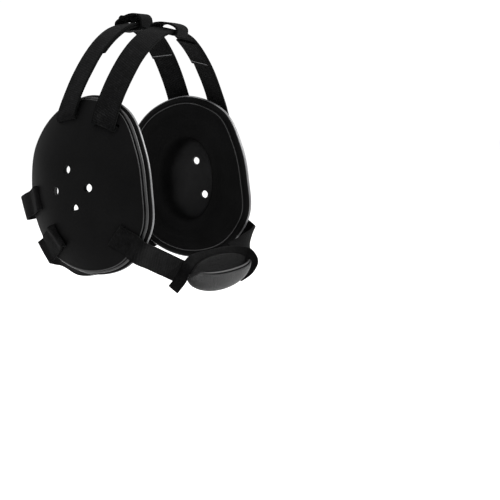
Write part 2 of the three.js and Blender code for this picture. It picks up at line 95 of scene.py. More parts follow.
class Finish:
    def __init__(self, name):
        self.material = bpy.data.materials.new(name)
        self.material.use_nodes = True
        self.tree = self.material.node_tree
        self.shader = self.tree.nodes["Principled BSDF"]

    def add(self, kind, settings=None, output=0, **values):
        node = self.tree.nodes.new("ShaderNode" + kind)
        for key, value in (settings or {}).items():
            if key == "stops":
                ramp = node.color_ramp
                while len(ramp.elements) < len(value):
                    ramp.elements.new(0.5)
                for element, (place, shade) in zip(ramp.elements, value):
                    element.position = place
                    element.color = (shade, shade, shade * 1.03, 1)
            else:
                setattr(node, key, value)
        for key, value in values.items():
            feed(self.tree, node.inputs[key.replace("_", " ")], value)
        return Wire(self.tree, node.outputs[output])

    def give(self, key, value):
        feed(self.tree, self.shader.inputs[key], value)

    def objectPlace(self):
        return self.add("TexCoord", output=3)

    def noise(self, place, scale, detail=4.0, rough=0.55):
        return self.add("TexNoise", Vector=place, Scale=scale, Detail=detail, Roughness=rough)

    def shades(self, amount, stops):
        return self.add("ValToRGB", {"stops": stops}, Fac=amount)

    def bump(self, height, strength, distance):
        self.give("Normal", self.add("Bump", Height=height, Strength=strength, Distance=distance))


# satin moulded plastic of the outer shells
def shellPlastic():
    f = Finish("shellPlastic")
    place = f.objectPlace()
    cloud = f.noise(place, 22.0, 3.0)
    grain = f.add("TexVoronoi", {"feature": "F1"}, Vector=place, Scale=1500.0)
    dust = f.noise(place, 420.0, 5.0, 0.7)
    f.give("Base Color", f.shades(cloud * 0.7 + dust * 0.3, [(0.3, 0.0014), (0.7, 0.0032)]))
    f.give("Roughness", 0.5 + cloud * 0.12 + dust * 0.08)
    f.give("Specular IOR Level", 0.03)
    f.bump(grain * 0.6 + dust * 0.4, 0.2, 0.0001)
    return f.material


# soft vinyl of the piping and the rolled rims
def rollVinyl(name, dark, light, gloss, shine):
    f = Finish(name)
    place = f.objectPlace()
    cloud = f.noise(place, 60.0, 4.0)
    f.give("Base Color", f.shades(cloud, [(0.3, dark), (0.7, light)]))
    f.give("Roughness", gloss + cloud * 0.16)
    f.give("Specular IOR Level", shine)
    f.bump(f.noise(place, 700.0, 3.0), 0.2, 0.00015)
    return f.material


# vinyl skin over the ear foam
def padVinyl():
    f = Finish("padVinyl")
    place = f.objectPlace()
    cloud = f.noise(place, 35.0, 4.0)
    pores = f.add("TexVoronoi", {"feature": "DISTANCE_TO_EDGE"}, Vector=place, Scale=900.0)
    # painted light: deeper in the ear pocket, towards its floor, the vinyl is coloured lighter, up to the
    # ramp's last stop, to stand for the light the pocket's floor catches
    across = f.add("SeparateXYZ", Vector=place)
    fromMiddle = across.sum("ABSOLUTE", across, 0.0)
    paintedFloorLight = f.add("MapRange", {"interpolation_type": "SMOOTHSTEP"}, Value=fromMiddle,
                 From_Min=0.097, From_Max=0.108, To_Min=0.0, To_Max=0.42)
    f.give("Base Color", f.shades(cloud * 0.5 + paintedFloorLight, [(0.15, 0.0012), (0.35, 0.0028), (1.0, 0.02)]))
    f.give("Roughness", 0.5 + cloud * 0.14)
    f.give("Specular IOR Level", 0.035)
    f.bump(pores * 2.0 + cloud * 0.4, 0.25, 0.0002)
    return f.material


# brushed loop webbing: the map runs in metres along and across the strap
def loopWebbing():
    f = Finish("loopWebbing")
    place = f.objectPlace()
    strapMap = f.add("UVMap", {"uv_map": "strapMap"})
    along = f.add("SeparateXYZ", Vector=strapMap)
    across = f.add("SeparateXYZ", Vector=strapMap, output=1)
    ribs = (along + across * 0.35).wave(0.0016) * across.wave(0.0013)
    tufts = f.noise(place, 520.0, 6.0, 0.75)
    patches = f.noise(place, 130.0, 3.0, 0.6)
    fromMiddle = across.sum("ABSOLUTE", across, 0.0) * 100.0
    edge = f.add("MapRange", {"interpolation_type": "SMOOTHSTEP"}, Value=fromMiddle,
                 From_Min=0.86, From_Max=1.0, To_Min=0.0, To_Max=1.0)
    mixed = ribs * 0.2 + tufts * 0.5 + patches * 0.3 - edge * 0.12
    f.give("Base Color", f.shades(mixed, [(0.28, 0.0006), (0.5, 0.0028), (0.72, 0.0115)]))
    f.give("Roughness", 0.84 + tufts * 0.14)
    f.give("Specular IOR Level", 0.03)
    f.give("Sheen Weight", 0.012)
    f.give("Sheen Roughness", 0.5)
    f.bump(ribs * 0.4 + tufts * 0.8 + patches * 0.3, 0.6, 0.0006)
    return f.material


# grained leather of the chin cup
def grainLeather(name, dark, light, gloss, shine):
    f = Finish(name)
    place = f.objectPlace()
    cells = f.add("TexVoronoi", {"feature": "DISTANCE_TO_EDGE"}, Vector=place, Scale=620.0)
    cloud = f.noise(place, 90.0, 5.0)
    creases = f.noise(place, 260.0, 6.0, 0.7)
    f.give("Base Color", f.shades(cloud * 0.5 + creases * 0.5, [(0.3, dark), (0.68, light)]))
    f.give("Roughness", gloss + cloud * 0.18)
    f.give("Specular IOR Level", shine)
    f.bump(cells * 1.2 + creases, 0.8, 0.0009)
    return f.material


def sewingThread():
    f = Finish("sewingThread")
    ply = f.noise(f.objectPlace(), 1800.0, 2.0)
    f.give("Base Color", f.shades(ply, [(0.3, 0.05), (0.7, 0.11)]))
    f.give("Roughness", 0.7)
    f.bump(ply, 0.3, 0.0001)
    return f.material


finishes = {
    "shell": shellPlastic(),
    "piping": rollVinyl("pipingVinyl", 0.006, 0.014, 0.34, 0.35),
    # painted highlight: the pad's rolled edge is coloured far lighter than the pad's own vinyl, to stand
    # for the light it catches along the cup's edge
    "padRoll": rollVinyl("padRollVinylPaintedHighlight", 0.045, 0.085, 0.28, 0.7),
    "pad": padVinyl(),
    "webbing": loopWebbing(),
    "chinPanel": grainLeather("chinPanelLeather", 0.0012, 0.011, 0.36, 0.16),
    "chinBinding": rollVinyl("chinBindingVinyl", 0.005, 0.014, 0.34, 0.35),
    "chinLining": grainLeather("chinLiningLeather", 0.0008, 0.0035, 0.5, 0.06),
    "thread": sewingThread(),
}
print("finishes made")


# smooth line through points, as centripetal Catmull-Rom, at a share of its length from point to point
def curveAt(points, share, closed=False):
    count = len(points)
    spans = count if closed else count - 1
    step = min(share, 0.999999 if not closed else share % 1.0) * spans
    i = int(step)
    t = step - i

    def pick(k):
        if closed:
            return points[k % count]
        if k < 0:
            return points[0] * 2 - points[1]
        if k >= count:
            return points[-1] * 2 - points[-2]
        return points[k]

    p0, p1, p2, p3 = (pick(i + k) for k in (-1, 0, 1, 2))
    d0 = max((p1 - p0).length ** 0.5, 1e-4)
    d1 = max((p2 - p1).length ** 0.5, 1e-4)
    d2 = max((p3 - p2).length ** 0.5, 1e-4)
    m1 = ((p1 - p0) / d0 - (p2 - p0) / (d0 + d1) + (p2 - p1) / d1) * d1
    m2 = ((p2 - p1) / d1 - (p3 - p1) / (d1 + d2) + (p3 - p2) / d2) * d1
    a = p1 * 2 - p2 * 2 + m1 + m2
    b = p2 * 3 - p1 * 3 - m1 * 2 - m2
    return ((a * t + b) * t + m1) * t + p1


fineSteps = 2000


def evenPoints(points, count, closed=False):
    fine = [curveAt(points, k / fineSteps, closed) for k in range(fineSteps + 1)]
    lengths = [0.0]
    for a, b in zip(fine, fine[1:]):
        lengths.append(lengths[-1] + (b - a).length)
    made = []
    k = 0
    for n in range(count):
        wanted = lengths[-1] * n / (count if closed else count - 1)
        while k < fineSteps - 1 and lengths[k + 1] < wanted:
            k += 1
        share = (wanted - lengths[k]) / max(lengths[k + 1] - lengths[k], 1e-9)
        made.append(fine[k].lerp(fine[k + 1], share))
    return made, lengths[-1]


# a grid laid over a form: place() takes shares along and across and answers in millimetres
def wrapGrid(columns, rows, place, mapSize=None):
    bm = bmesh.new()
    bmesh.ops.create_grid(bm, x_segments=columns, y_segments=rows, size=1.0, calc_uvs=True)
    shares = {v: ((v.co.x + 1) / 2, (v.co.y + 1) / 2) for v in bm.verts}
    if mapSize:
        layer = bm.loops.layers.uv.verify()
        for face in bm.faces:
            for loop in face.loops:
                u, v = shares[loop.vert]
                loop[layer].uv = (u * mapSize[0], (v - 0.5) * mapSize[1])
    for v in bm.verts:
        v.co = place(*shares[v]) * mm
    bmesh.ops.remove_doubles(bm, verts=bm.verts, dist=2e-6)
    return bm


def faceOutwards(bm):
    if bm.calc_volume(signed=True) < 0:
        bmesh.ops.reverse_faces(bm, faces=bm.faces)


sharpFrom = 38.0  # degrees between faces


def smoothFaces(mesh, sharp):
    for face in mesh.polygons:
        face.use_smooth = True
    mesh.set_sharp_from_angle(angle=math.radians(sharp))


def makePiece(name, bm, finish, sharp=sharpFrom):
    mesh = bpy.data.meshes.new(name)
    faceOutwards(bm)
    bm.to_mesh(mesh)
    bm.free()
    smoothFaces(mesh, sharp)
    if mesh.uv_layers:
        mesh.uv_layers[0].name = "strapMap"
    mesh.materials.append(finish)
    piece = bpy.data.objects.new(name, mesh)
    scene.collection.objects.link(piece)
    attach(piece, "root")
    return piece


def settle(piece):
    bpy.context.view_layer.update()
    evaluated = piece.evaluated_get(bpy.context.evaluated_depsgraph_get())
    mesh = bpy.data.meshes.new_from_object(evaluated)
    piece.modifiers.clear()
    piece.data = mesh
    smoothFaces(mesh, sharpFrom)


def cutAway(piece, cutter, solver="EXACT"):
    mesh = bpy.data.meshes.new("cutter")
    faceOutwards(cutter)
    cutter.to_mesh(mesh)
    cutter.free()
    tool = bpy.data.objects.new("cutter", mesh)
    scene.collection.objects.link(tool)
    cut = piece.modifiers.new("cut", "BOOLEAN")
    cut.operation = "DIFFERENCE"
    cut.solver = solver
    cut.object = tool
    settle(piece)
    bpy.data.objects.remove(tool)


def softenEdges(piece, width, segments):
    bevel = piece.modifiers.new("softEdges", "BEVEL")
    bevel.width = width
    bevel.segments = segments
    bevel.limit_method = "ANGLE"
    bevel.angle_limit = math.radians(50.0)
    bevel.harden_normals = False


def thicken(piece, thick):
    wall = piece.modifiers.new("wall", "SOLIDIFY")
    wall.thickness = thick * mm
    wall.offset = 0.0


# camera at the photo's angle
view = {"azimuth": -61.33, "elevation": 2.99, "roll": 0.293, "distance": 1.4583, "lens": 120.7,
        "target": (0.0, 0.009, -0.129), "targetPixel": (141.88, 181.01), "focalPixels": 1676.0,
        "middlePixel": 250, "sensor": 36.0, "clipFrom": 0.05, "clipTo": 60.0}


def makeCamera():
    a = math.radians(view["azimuth"])
    e = math.radians(view["elevation"])
    back = Vector((math.sin(a) * math.cos(e), -math.cos(a) * math.cos(e), math.sin(e)))
    data = bpy.data.cameras.new("photoCamera")
    data.lens = view["lens"]
    data.sensor_width = view["sensor"]
    data.clip_start = view["clipFrom"]
    data.clip_end = view["clipTo"]
    camera = bpy.data.objects.new("photoCamera", data)
    scene.collection.objects.link(camera)
    x = (view["targetPixel"][0] - view["middlePixel"]) / view["focalPixels"]
    y = (view["middlePixel"] - view["targetPixel"][1]) / view["focalPixels"]
    aim = Vector((x, y, -1)).rotation_difference(Vector((0, 0, -1)))
    roll = Matrix.Rotation(math.radians(view["roll"]), 3, "Z")
    turn = (-back).to_track_quat("-Z", "Y").to_matrix() @ roll @ aim.to_matrix()
    place = Vector(view["target"]) + back * view["distance"]
    camera.matrix_world = Matrix.Translation(place) @ turn.to_4x4()
    scene.camera = camera


makeCamera()

# studio: white surround, pale floor, soft lamps
studio = {"surround": 1.04, "floorDrop": 0.05, "floorSize": 14.0, "lampAim": (0, 0, -0.12)}


def makeStudio():
    world = bpy.data.worlds.new("studioSurround")
    world.use_nodes = True
    surround = world.node_tree.nodes["Background"]
    surround.inputs["Color"].default_value = (1, 1, 1, 1)
    surround.inputs["Strength"].default_value = studio["surround"]
    scene.world = world
    scene.view_settings.view_transform = "Standard"
    bm = bmesh.new()
    bmesh.ops.create_grid(bm, x_segments=2, y_segments=2, size=studio["floorSize"] / 2)
    bmesh.ops.translate(bm, verts=bm.verts, vec=(0, 0, cadBox[0].z - studio["floorDrop"]))
    mesh = bpy.data.meshes.new("studioFloor")
    bm.to_mesh(mesh)
    bm.free()
    paint = Finish("floorPaint")
    paint.give("Base Color", (0.98, 0.98, 0.98, 1))
    paint.give("Roughness", 0.9)
    paint.give("Specular IOR Level", 0.1)
    mesh.materials.append(paint.material)
    floor = bpy.data.objects.new("studioFloor", mesh)
    scene.collection.objects.link(floor)
    lamps = {
        "keyLamp": {"place": (1.0, -1.5, 0.75), "size": 0.9, "power": 40.0},
        "sideLamp": {"place": (-1.3, 0.35, 0.25), "size": 1.2, "power": 7.0},
        "topLamp": {"place": (-0.2, -0.2, 1.7), "size": 1.6, "power": 22.0},
    }
    for name, row in lamps.items():
        data = bpy.data.lights.new(name, "AREA")
        data.shape = "DISK"
        data.size = row["size"]
        data.energy = row["power"]
        lamp = bpy.data.objects.new(name, data)
        place = Vector(row["place"])
        lamp.location = place
        lamp.rotation_euler = (Vector(studio["lampAim"]) - place).to_track_quat("-Z", "Y").to_euler()
        scene.collection.objects.link(lamp)


makeStudio()
print("camera and studio set")

# ear cups, in the right cup's own frame: x forward, y up, z out of the head
cup = {
    "width": 121.0, "height": 147.0, "dome": 23.5, "domePower": 2.2, "wall": 2.2, "inset": 4.3,
    "drop": 129.0, "back": 9.0, "halfGap": 94.9, "toe": 6.3, "cant": 1.4,
    "weltWidth": 7.0, "weltThick": 4.2, "weltInset": 0.9, "padRim": 7.0, "padDish": 10.0,
    "lining": 2.5, "pocket": (52.0, 78.0), "pocketPlace": (-5.7, -2.5), "floorForward": 7.5,
    "vent": 7.0, "ventSides": 40, "ventCircle": 32.0, "ventPlace": (1.8, -2.0),
    "ventAngles": (5, 106, 188, 284), "rearVent": 188, "rearVentLean": 0.4,
    "clearance": 0.3, "around": 144,
}
outlineRows = [
    (0.969, 0.0), (0.863, 0.409), (0.587, 0.835), (0.0, 1.009), (-0.583, 0.829), (-0.926, 0.439),
    (-0.988, 0.0), (-0.895, -0.424), (-0.573, -0.815), (0.0, -0.991), (0.613, -0.873), (0.982, -0.466),
]
outlinePoints = [Vector((x * cup["width"] / 2, y * cup["height"] / 2, 0)) for x, y in outlineRows]
outline, _ = evenPoints(outlinePoints, cup["around"], True)
inward = []
for k in range(cup["around"]):
    before = outline[k - 1]
    after = outline[(k + 1) % cup["around"]]
    inward.append(Vector((before.y - after.y, after.x - before.x, 0)).normalized())


def cupMatrix():
    t = math.radians(cup["toe"])
    c = math.radians(cup["cant"])
    forward = Vector((-math.sin(t), -math.cos(t), 0))
    up = Vector((math.sin(c) * math.cos(t), -math.sin(c) * math.sin(t), math.cos(c)))
    out = Vector((-math.cos(c) * math.cos(t), math.cos(c) * math.sin(t), math.sin(c)))
    made = Matrix((forward, up, out)).transposed().to_4x4()
    made.translation = Vector((-cup["halfGap"], cup["back"], -cup["drop"]))
    return made


cupToHead = cupMatrix()
mirror = Matrix.Scale(-1, 4, Vector((1, 0, 0)))
sides = {"Right": Matrix.Identity(4), "Left": mirror}


def headPlace(p, side="Right"):
    return sides[side] @ (cupToHead @ Vector(p))


def rimReach(angle):
    best = None
    for k in range(cup["around"]):
        a = outline[k]
        b = outline[(k + 1) % cup["around"]]
        turnA = math.remainder(math.atan2(a.y, a.x) - angle, 2 * math.pi)
        turnB = math.remainder(math.atan2(b.y, b.x) - angle, 2 * math.pi)
        if turnA <= 0 < turnB and turnB - turnA < 1:
            best = (a, b)
    a, b = best
    return (a.x * b.y - a.y * b.x) / (math.cos(angle) * (b.y - a.y) - math.sin(angle) * (b.x - a.x))


def domeOut(x, y):
    reach = rimReach(math.atan2(y, x)) - cup["inset"]
    return cup["dome"] * (1 - min(math.hypot(x, y) / reach, 1) ** cup["domePower"])


def domeShare(share):
    return cup["dome"] * (1 - share ** cup["domePower"])


def ringPoint(turn, row):
    k = int(round(turn * cup["around"])) % cup["around"]
    p = outline[k] + inward[k] * row["inset"]
    share = row.get("share", 1.0)
    made = Vector((p.x * share, p.y * share, row["out"]))
    if "oval" in row:
        size, shift = row["oval"]
        angle = math.atan2(p.y / cup["height"], p.x / cup["width"])
        oval = Vector((
            cup["pocketPlace"][0] + shift + cup["pocket"][0] / 2 * size * math.cos(angle),
            cup["pocketPlace"][1] + cup["pocket"][1] / 2 * size * math.sin(angle),
            row["out"],
        ))
        return made.lerp(oval, row.get("ovalShare", 1.0))
    return made


def turnedForm(rows, side):
    last = len(rows) - 1

    def place(u, v):
        return headPlace(ringPoint(u, rows[round(v * last)]), side)

    return wrapGrid(cup["around"], last, place)


seatOut = -cup["wall"] + 0.2
weltTop = seatOut - cup["clearance"]
padTop = weltTop - cup["weltThick"] - cup["clearance"]
padFace = padTop - cup["padRim"]
rebateInset = cup["weltInset"] + cup["weltWidth"] + cup["clearance"]


# round cutters for the vents in one mesh; the rear one leans back, as the pocket's wall is close there
def ventCutters(side, outer, inner, angles, rearLean=0.0):
    bm = bmesh.new()
    for angle in angles:
        turn = math.radians(angle)
        x = cup["ventPlace"][0] + cup["ventCircle"] / 2 * math.cos(turn)
        y = cup["ventPlace"][1] + cup["ventCircle"] / 2 * math.sin(turn)
        lean = rearLean if angle == cup["rearVent"] else 0.0
        made = bmesh.ops.create_cone(bm, cap_ends=True, segments=cup["ventSides"], radius1=cup["vent"] / 2,
                                     radius2=cup["vent"] / 2, depth=outer - inner)
        for v in made["verts"]:
            v.co.z += (outer + inner) / 2
            v.co.x += x + lean * (v.co.z - outer)
            v.co.y += y
    for v in bm.verts:
        v.co = headPlace(v.co, side) * mm
    return bm


slots = {
    "crownFront": {"forward": 0.417, "up": 0.7, "heading": 70},
    "crownRear": {"forward": -0.218, "up": 0.775, "heading": 100},
    "backUpper": {"forward": -0.67, "up": -0.16, "heading": 200},
    "backLower": {"forward": -0.29, "up": -0.575, "heading": 212},
    "chin": {"forward": 0.655, "up": -0.54, "heading": -37},
}
slotCut = {"width": 4.2, "length": 20.2, "depth": 60.0, "corner": 1.8, "cornerSteps": 4}


def slotPlace(row):
    return Vector((row["forward"] * cup["width"] / 2, row["up"] * cup["height"] / 2, 0))


def slotCutter(side, row):
    bm = bmesh.new()
    bmesh.ops.create_cube(bm, size=1.0)
    bmesh.ops.scale(bm, vec=(slotCut["width"], slotCut["length"], slotCut["depth"]), verts=bm.verts)
    upright = [e for e in bm.edges if abs((e.verts[0].co - e.verts[1].co).z) > 1]
    bmesh.ops.bevel(bm, geom=upright, offset=slotCut["corner"], segments=slotCut["cornerSteps"],
                    profile=0.5, affect="EDGES", material=-1)
    turn = Matrix.Rotation(math.radians(row["heading"]), 3, "Z")
    bmesh.ops.rotate(bm, verts=bm.verts, matrix=turn)
    bmesh.ops.translate(bm, verts=bm.verts, vec=slotPlace(row))
    for v in bm.verts:
        v.co = headPlace(v.co, side) * mm
    return bm


shell = {"innerShare": 0.985, "lap": 0.6, "cutFrom": 4.0, "edgeRound": 0.00045}
shellSteps = [0.0, 0.08, 0.16, 0.24, 0.32, 0.4, 0.48, 0.56, 0.64, 0.71, 0.78]
shellSteps += [0.84, 0.89, 0.93, 0.96, 0.985]
shellLip = [(0.25, 0.35), (-0.15, -0.1), (-0.5, -0.75), (-0.35, -1.45), (0.3, -1.9), (1.2, seatOut)]


def makeShell(side):
    rows = [{"share": s, "inset": cup["inset"], "out": domeShare(s)} for s in shellSteps]
    rows += [{"inset": cup["inset"] + i, "out": o} for i, o in shellLip]
    rows.append({"inset": rebateInset - shell["lap"], "out": seatOut})
    for s in reversed(shellSteps):
        rows.append({"share": s * shell["innerShare"], "inset": cup["inset"],
                     "out": domeShare(s) - cup["wall"]})
    piece = makePiece("earShell" + side, turnedForm(rows, side), finishes["shell"])
    vents = ventCutters(side, cup["dome"] * 1.5, shell["cutFrom"], cup["ventAngles"])
    cutAway(piece, vents, "MANIFOLD")
    for row in slots.values():
        cutAway(piece, slotCutter(side, row))
    softenEdges(piece, shell["edgeRound"], 2)
    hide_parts("ear_shell_" + side.lower())


# piping: a round bead on a flat tail
welt = {"beadShare": 0.34, "beadInset": 0.6, "beadTurn": 110.0, "beadSteps": 24, "neck": 2.0,
        "tailShare": 0.55}


def makeWelt(side):
    middle = weltTop - cup["weltThick"] / 2
    bead = cup["weltThick"] * welt["beadShare"]
    tail = bead * welt["tailShare"]
    rows = []
    for k in range(welt["beadSteps"] + 1):
        turn = math.radians(welt["beadTurn"] * (2 * k / welt["beadSteps"] - 1))
        inset = cup["weltInset"] + welt["beadInset"] + bead - bead * math.cos(turn)
        rows.append({"inset": inset, "out": middle + bead * math.sin(turn)})
    neck = cup["weltInset"] + bead + welt["neck"]
    end = cup["weltInset"] + cup["weltWidth"]
    flat = [(neck, tail), (end, tail), (end, -tail), (neck, -tail)]
    rows += [{"inset": i, "out": middle + o} for i, o in flat]
    rows.append(rows[0])
    piece = makePiece("edgeWelt" + side, turnedForm(rows, side), finishes["piping"], 60.0)
    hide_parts("edge_welt_" + side.lower())


pad = {"underClear": 1.9, "dishInset": 14.6, "dishOval": 1.16, "cutPast": 2.0}
padSteps = [0.0, 0.25, 0.45, 0.62, 0.77, 0.88]
# inset from the outline and place outwards: rounded edge, seam groove, seam bead, land
padRim = [
    (rebateInset + 0.5, weltTop), (rebateInset, padTop), (3.2, padTop), (1.9, padTop - 0.15),
    (0.9, padTop - 0.8), (0.3, padTop - 1.8), (0.05, padTop - 3.0), (0.35, padTop - 4.2),
    (1.1, padTop - 5.2), (2.2, padTop - 6.0),
    (3.5, padFace + 0.55), (4.5, padFace + 0.5), (5.2, padFace + 0.75),
    (5.7, padFace + 0.2), (6.3, padFace - 0.35), (7.0, padFace - 0.4), (7.7, padFace - 0.05),
    (8.3, padFace + 0.3), (9.2, padFace + 0.15), (11.0, padFace + 0.05), (14.0, padFace + 0.2),
]
# way in and depth, from the land down to the pocket's lip
padSlope = [(0.12, 0.06), (0.28, 0.19), (0.45, 0.36), (0.62, 0.55), (0.78, 0.72), (0.92, 0.88)]
# size of the oval and way down to the floor
padPocket = [
    (1.13, -0.03), (1.075, -0.005), (1.03, 0.03), (0.99, 0.09), (0.955, 0.18), (0.93, 0.3), (0.905, 0.44),
    (0.875, 0.58), (0.835, 0.71), (0.785, 0.82), (0.72, 0.9), (0.63, 0.955), (0.5, 0.985), (0.34, 1.0),
    (0.16, 1.0), (0.0, 1.0),
]


def makePad(side):
    under = cup["wall"] + cup["clearance"] * pad["underClear"]
    floorOut = cup["dome"] - under - cup["lining"]
    lipOut = padFace + cup["padDish"]
    rows = [{"share": s, "inset": cup["inset"], "out": domeShare(s) - under} for s in padSteps]
    rows += [{"inset": i, "out": o} for i, o in padRim]
    for share, depth in padSlope:
        rows.append({"inset": pad["dishInset"], "oval": (pad["dishOval"], 0.0), "ovalShare": share,
                     "out": padFace + (lipOut - padFace) * depth})
    for size, way in padPocket:
        rows.append({"inset": pad["dishInset"], "oval": (size, cup["floorForward"] * way),
                     "out": lipOut + (floorOut - lipOut) * way})
    piece = makePiece("earPad" + side, turnedForm(rows, side), finishes["pad"], 60.0)
    angles = [a for a in cup["ventAngles"] if side == "Right" or a != cup["rearVent"]]
    vents = ventCutters(side, cup["dome"], lipOut + pad["cutPast"], angles, cup["rearVentLean"])
    cutAway(piece, vents, "MANIFOLD")
    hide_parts("ear_pad_" + side.lower())


# beads round the cup: the pad's rolled edge, the shell's edge line and the seam cord on the pad's face
beads = {
    "padRoll": {"inset": 2.0, "below": 3.1, "radius": 2.15, "finish": "padRoll", "slot": "welt"},
    "shellEdge": {"inset": 3.75, "below": -6.1, "radius": 0.45, "finish": "piping", "slot": "shell"},
    "padSeam": {"inset": 6.6, "below": 7.1, "radius": 0.42, "finish": "piping", "slot": "welt"},
}
beadSteps = 16


def makeBead(name, side):
    bead = beads[name]
    rows = []
    for k in range(beadSteps + 1):
        turn = 2 * math.pi * k / beadSteps
        rows.append({"inset": bead["inset"] - bead["radius"] * math.cos(turn),
                     "out": padTop - bead["below"] + bead["radius"] * math.sin(turn)})
    makePiece(name + side, turnedForm(rows, side), finishes[bead["finish"]], 60.0)


for side in sides:
    makeShell(side)
    makeWelt(side)
    makePad(side)
    for name in beads:
        makeBead(name, side)
print("ear cups made")

# webbing straps: rows of a place on the strap's middle and the direction across it
strap = {
    "width": 20.0, "thick": 1.8, "lift": 2.3, "bend": 5.0, "edgeShare": 0.95, "edgeRound": 0.0005,
    "upperClear": 10.0, "lowerClear": 3.0, "backBow": 8.0, "upperSag": 18.0, "lowerDrop": 5.0,
    "lowerSag": 10.0,
}


def overDome(place, heading):
    cross = Vector((-heading.y, heading.x, 0))
    edge = strap["width"] / 2 * strap["edgeShare"]
    one = place + cross * edge
    other = place - cross * edge
    oneOut = domeOut(one.x, one.y)
    otherOut = domeOut(other.x, other.y)
    middleOut = domeOut(place.x, place.y)
    out = max(middleOut, (oneOut + otherOut) / 2) + strap["lift"]
    across = (headPlace((one.x, one.y, oneOut)) - headPlace((other.x, other.y, otherOut))).normalized()
    return headPlace((place.x, place.y, out)), across, max(oneOut, otherOut, middleOut)


def headingOf(row):
    turn = math.radians(row["heading"])
    return Vector((math.cos(turn), math.sin(turn), 0))


# the fold of a strap as it comes out of its slot: way towards the rim and height over the shell
foldRows = [(1.4, -2.2), (-0.6, -0.9), (-2.4, 0.6), (-2.9, 2.1), (-1.4, 3.3)]


def slotFoot(row):
    place = slotPlace(row)
    _, across, highest = overDome(place, headingOf(row))
    rows = []
    for way, out in foldRows:
        p = place + headingOf(row) * way
        rows.append((headPlace((p.x, p.y, highest + out)), across))
    return rows


def slotRows(row, past):
    place = slotPlace(row)
    heading = headingOf(row)
    rows = slotFoot(row)
    way = strap["bend"]
    while way < cup["height"]:
        p = place + heading * way
        if math.hypot(p.x, p.y) > rimReach(math.atan2(p.y, p.x)) - cup["inset"]:
            break
        rows.append(overDome(p, heading)[:2])
        way += strap["bend"]
    rim = place + heading * (way + past)
    rows.append((headPlace((rim.x, rim.y, strap["lift"])), rows[-1][1]))
    return rows, rim, heading


def facing(rows, wanted):
    return [(p, -a if a.dot(wanted) < 0 else a) for p, a in rows]


def mirrored(rows):
    return [(Vector((-p.x, p.y, p.z)), Vector((-a.x, a.y, a.z))) for p, a in reversed(rows)]


archRows = [(0.955, 0.887), (0.869, 0.72), (0.749, 0.53), (0.6, 0.335), (0.42, 0.166), (0.22, 0.045)]
arches = {
    "Front": {"slot": "crownFront", "span": 104.8, "height": 73.6, "forward": 17.0, "rise": 1.2,
              "tilt": 11.0, "slant": 1.5},
    "Rear": {"slot": "crownRear", "span": 102.0, "height": 76.4, "forward": -17.5, "rise": 6.0,
             "tilt": -4.0, "slant": 0.0},
}


def archLine(arch):
    tilt = math.radians(arch["tilt"])
    across = Vector((0, -math.cos(tilt), -math.sin(tilt)))
    rows = facing(slotFoot(slots[arch["slot"]]), across)
    endPlace, endAcross = rows[-1]
    for share, drop in archRows:
        y = endPlace.y * share - arch["forward"] * (1 - share)
        rows.append((Vector((-arch["span"] * share, y, arch["rise"] - arch["height"] * drop)),
                     across.lerp(endAcross, share).normalized()))
    return rows + [(Vector((0, -arch["forward"], arch["rise"])), across)] + mirrored(rows)


# a rear strap past the rim: way on as a share of its clearance, depth inwards and share of its drop
backRows = [(0.85, 0.45, 0.0), (0.55, 1.25, 0.5)]


def backLine(slot, clear, drop, sag):
    rows, rim, heading = slotRows(slots[slot], clear * 0.5)
    across = (cupToHead.to_3x3() @ Vector((-heading.y, heading.x, 0))).normalized()
    for past, depth, down in backRows:
        p = rim + heading * (clear * past)
        rows.append((headPlace((p.x, p.y - drop * down, padFace * depth)), across))
    last = rows[-1][0]
    flat = Vector((0, across.y, across.z)).normalized()
    rows.append((Vector((last.x * 0.5, last.y + strap["backBow"] * 0.7, last.z - drop - sag * 0.7)),
                 across.lerp(flat, 0.6).normalized()))
    middle = (Vector((0, last.y + strap["backBow"], last.z - drop - sag)), flat)
    return rows + [middle] + mirrored(rows)


def ribbonPlace(rows, width, start=0.0, end=1.0, offset=0.0, wobble=0.0, slant=0.0):
    line = [p for p, _ in rows]
    turns = [a for _, a in rows]

    def at(t):
        share = start + (end - start) * t
        here = curveAt(line, share)
        ahead = curveAt(line, min(share + 0.002, 1.0))
        behind = curveAt(line, max(share - 0.002, 0.0))
        along = (ahead - behind).normalized()
        across = curveAt(turns, share)
        across = (across - along * across.dot(along)).normalized()
        return here, along, across, along.cross(across)

    def place(u, v):
        here, _, across, normal = at(u)
        side = (v - 0.5) * 2
        ripple = wobble * math.sin(u * 61.0 + side * 1.7) + wobble * 0.6 * math.sin(u * 23.0 - side * 2.6)
        hang = slant * side * max(0.0, 1 - min(u, 1 - u) / 0.07) ** 2
        return here + across * (side * width / 2) + normal * (offset + ripple) - Vector((0, 0, hang))

    return place, at


def lineLength(rows, start, end):
    line = [p for p, _ in rows]
    fine = [curveAt(line, start + (end - start) * k / 400) for k in range(401)]
    return sum((b - a).length for a, b in zip(fine, fine[1:]))


def makeStrap(name, rows, node, width=strap["width"], thick=strap["thick"], steps=220,
              start=0.0, end=1.0, offset=0.0, wobble=0.12, slant=0.0):
    place, _ = ribbonPlace(rows, width, start, end, offset, wobble, slant)
    length = lineLength(rows, start, end)
    bm = wrapGrid(steps, 10, place, (length * mm, width * mm))
    piece = makePiece(name, bm, finishes["webbing"], 70.0)
    thicken(piece, thick)
    softenEdges(piece, strap["edgeRound"], 3)
    length * mm
    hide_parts(node)


archLines = {name: archLine(arch) for name, arch in arches.items()}
for name, rows in archLines.items():
    node = "crown_strap_" + name.lower()
    makeStrap("crownStrap" + name, rows, node, slant=arches[name]["slant"])
upperBack = backLine("backUpper", strap["upperClear"], 0.0, strap["upperSag"])
lowerBack = backLine("backLower", strap["lowerClear"], strap["lowerDrop"], strap["lowerSag"])
makeStrap("rearStrapUpper", upperBack, "rear_strap_upper")
makeStrap("rearStrapLower", lowerBack, "rear_strap_lower")


